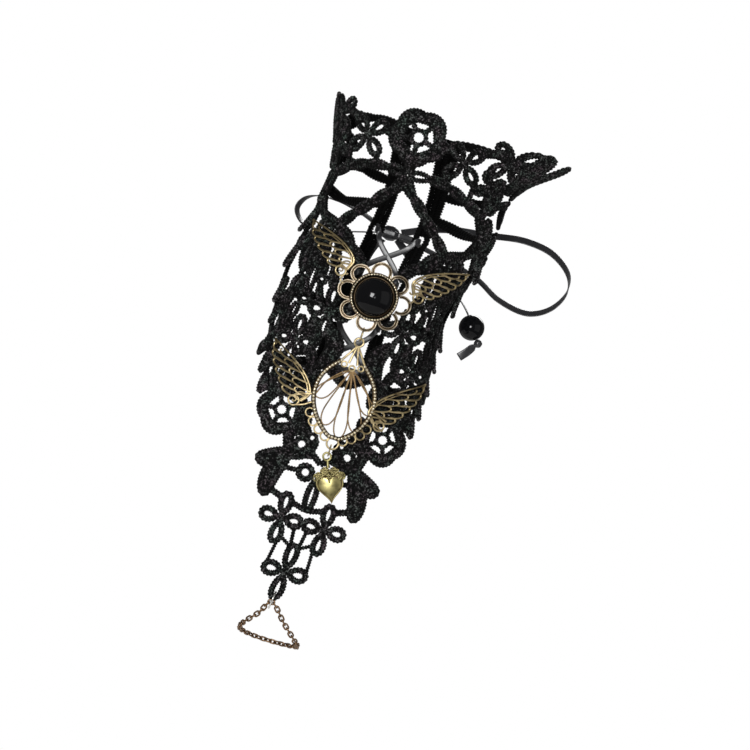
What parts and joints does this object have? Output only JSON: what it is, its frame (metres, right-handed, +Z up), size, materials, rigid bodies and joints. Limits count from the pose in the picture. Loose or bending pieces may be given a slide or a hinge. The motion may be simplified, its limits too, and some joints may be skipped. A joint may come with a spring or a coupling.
{
  "type": "lace wrist cuff",
  "caption": "Fingerless lace wrist cuff with a point over the back of the hand, a winged flower and teardrop pendant, a ribbon lacing and a chain loop for the middle finger.",
  "frame": {"origin": "middle of the wrist, level with the flower setting, where the wearer's wrist holds the cuff", "axes": "+Z up the forearm, the back of the hand faces -Y, +X to the right as seen from there"},
  "size_m": [0.1017, 0.0647, 0.1949],
  "materials": {
    "lace": "thick satin-stitched cord lace, matt black",
    "brass": "antique brass with dark recesses",
    "heart_brass": "antique olive-gold brass",
    "bronze": "dark bronze",
    "steel": "bright plated wire",
    "stone": "polished black cabochon",
    "bead": "polished black bead",
    "satin": "black satin ribbon"
  },
  "bodies": {
    "root": {"lace_cuff": "lace", "winged_flower_setting": "brass", "cabochon": "stone", "upper_jump_ring": "brass", "winged_teardrop": "brass", "lower_jump_ring": "brass", "heart_charm": "heart_brass", "finger_jump_ring": "steel", "finger_chain": "bronze", "lacing_ribbon": "satin", "bow_knot": "satin", "bow_loop_right": "satin", "bow_loop_left": "satin", "tail_right": "satin", "bead_right": "bead", "bead_knot_right": "satin", "tail_end_right": "satin", "tail_left": "satin", "bead_left": "bead", "bead_knot_left": "satin", "tail_end_left": "satin"}
  },
  "joints": []
}
